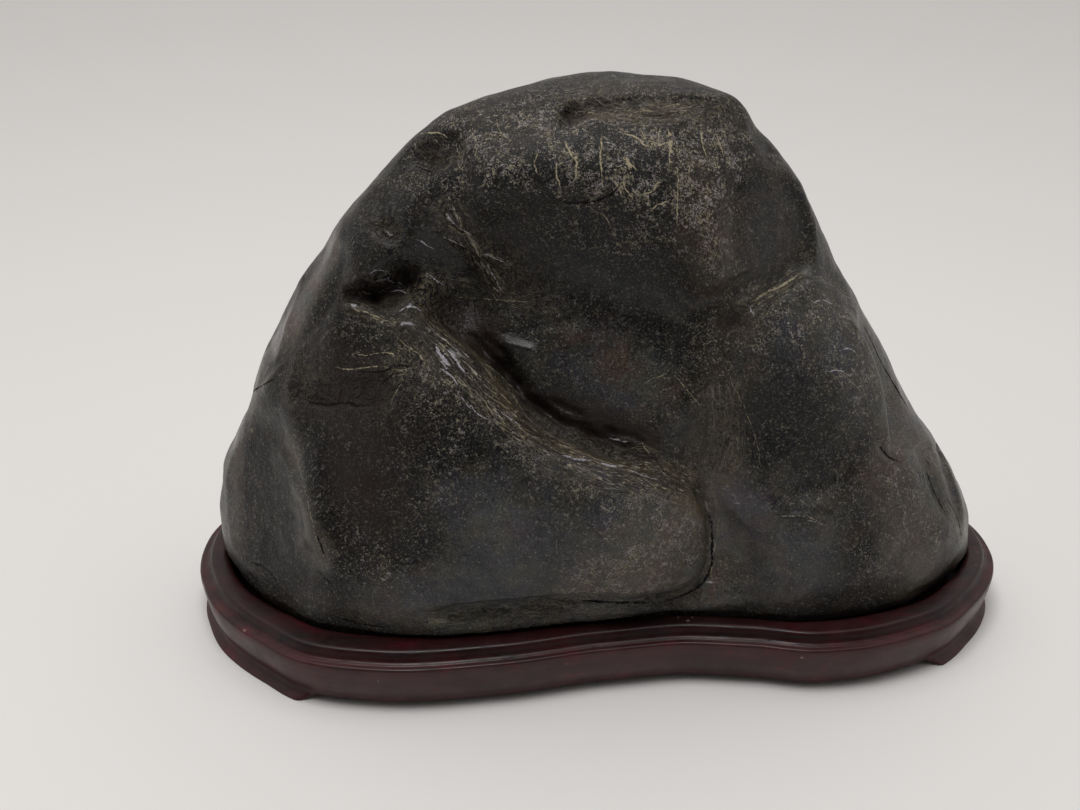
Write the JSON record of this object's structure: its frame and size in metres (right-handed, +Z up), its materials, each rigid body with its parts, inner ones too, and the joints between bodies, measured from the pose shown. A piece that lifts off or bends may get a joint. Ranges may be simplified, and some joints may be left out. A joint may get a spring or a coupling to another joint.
{
  "type": "scholar's rock on a wooden stand",
  "caption": "Dark water-worn viewing stone with a diagonal crevice and rounded lobes, resting in the seat of a low carved wooden stand.",
  "frame": {"origin": "on the surface it stands on, under the middle of the stand's bounding box", "axes": "+Z up, -Y towards the stone's front face, +X towards the front view's right"},
  "size_m": [0.28, 0.1302, 0.1851],
  "materials": {
    "stone": "dark grey-green stone with a waxy sheen, fine pale flecks and tan patina in its crevices",
    "stand_wood": "dark red-brown satin varnish"
  },
  "bodies": {
    "root": {"stone": "stone", "stand": "stand_wood"}
  },
  "joints": []
}
